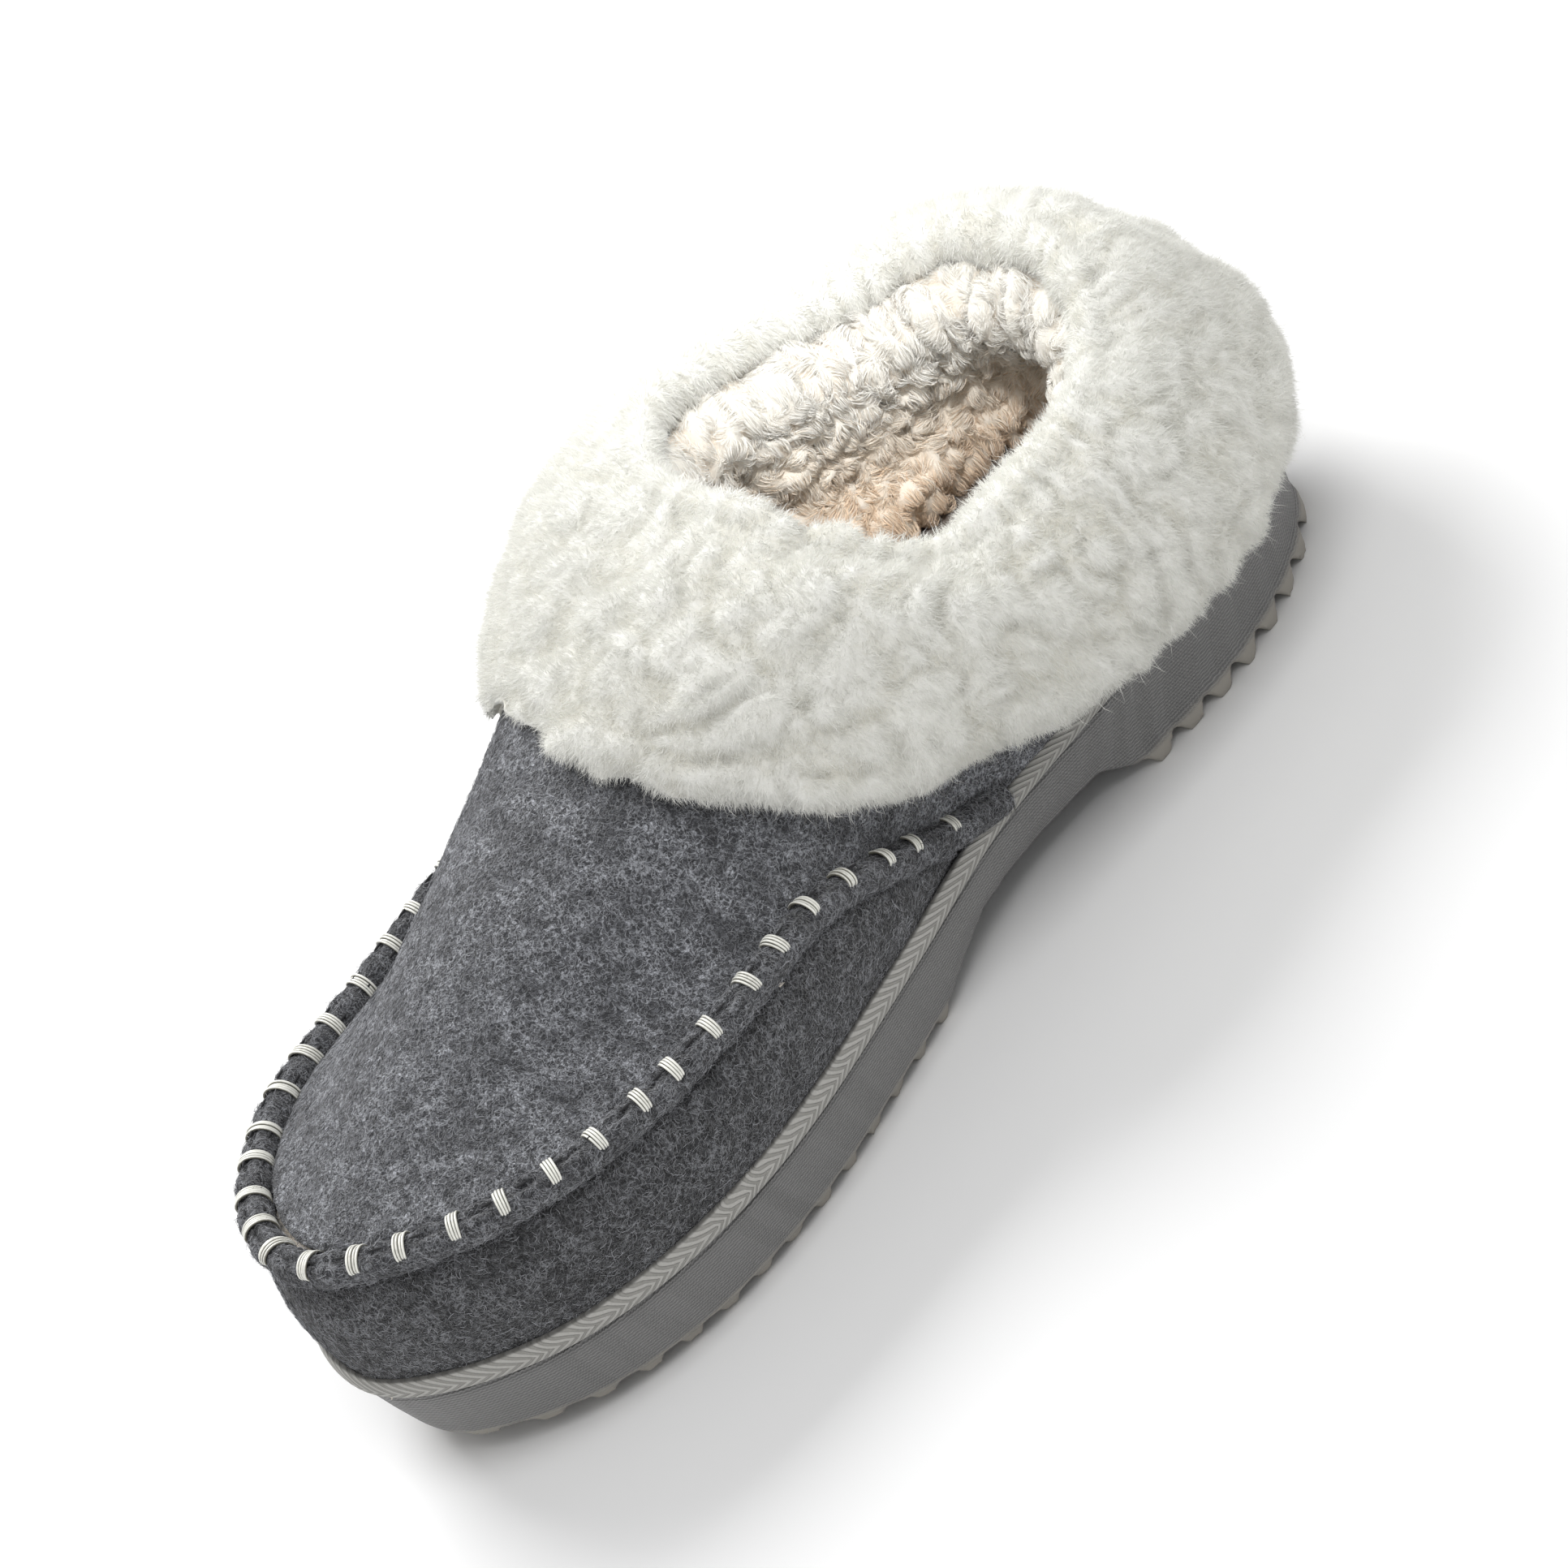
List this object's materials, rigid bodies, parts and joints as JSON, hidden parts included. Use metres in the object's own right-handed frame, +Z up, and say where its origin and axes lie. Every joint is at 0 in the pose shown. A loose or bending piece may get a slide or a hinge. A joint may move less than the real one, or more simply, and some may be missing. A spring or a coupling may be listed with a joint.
{
  "type": "fluffy clog slipper",
  "caption": "Right-foot house slipper: ribbed rubber sole unit, felt moccasin toe with a hand-stitched raised seam, and a deep sherpa cuff round a lined foot opening.",
  "frame": {"origin": "centre of the slipper's bounding box, on the ground plane that the tread crests stand on", "axes": "+Z up, toe towards -Y, heel towards +Y, inner (medial) side of the foot towards +X"},
  "size_m": [0.1075, 0.2686, 0.1025],
  "materials": {
    "sole_rubber": "satin",
    "woven_tape": "matte",
    "board": "matte",
    "thread_white": "matte",
    "foam": "matte",
    "insole_cloth": "matte",
    "felt_wall": "matte",
    "felt": "matte",
    "stay_tape": "matte",
    "ivory_yarn": "satin",
    "thread_dark": "matte",
    "lining_pile": "matte",
    "knit_backing": "matte",
    "cuff_pile": "matte"
  },
  "bodies": {
    "root": {"outsole": "sole_rubber", "welt_tape": "woven_tape", "insole_board": "board", "strobel_stitches": "thread_white", "foam_footbed": "foam", "sock_lining": "insole_cloth", "toe_wall": "felt_wall", "vamp_plug": "felt", "quarter_medial": "felt", "quarter_lateral": "felt", "heel_seam_tape": "stay_tape", "moc_seam_roll": "felt_wall", "whip_stitches": "ivory_yarn", "seam_topstitches": "thread_dark", "topline_tape": "stay_tape", "heel_counter": "board", "vamp_lining": "lining_pile", "wall_lining": "lining_pile", "heel_lining": "lining_pile", "cuff_backing": "knit_backing", "cuff_fur": "cuff_pile"}
  },
  "joints": []
}
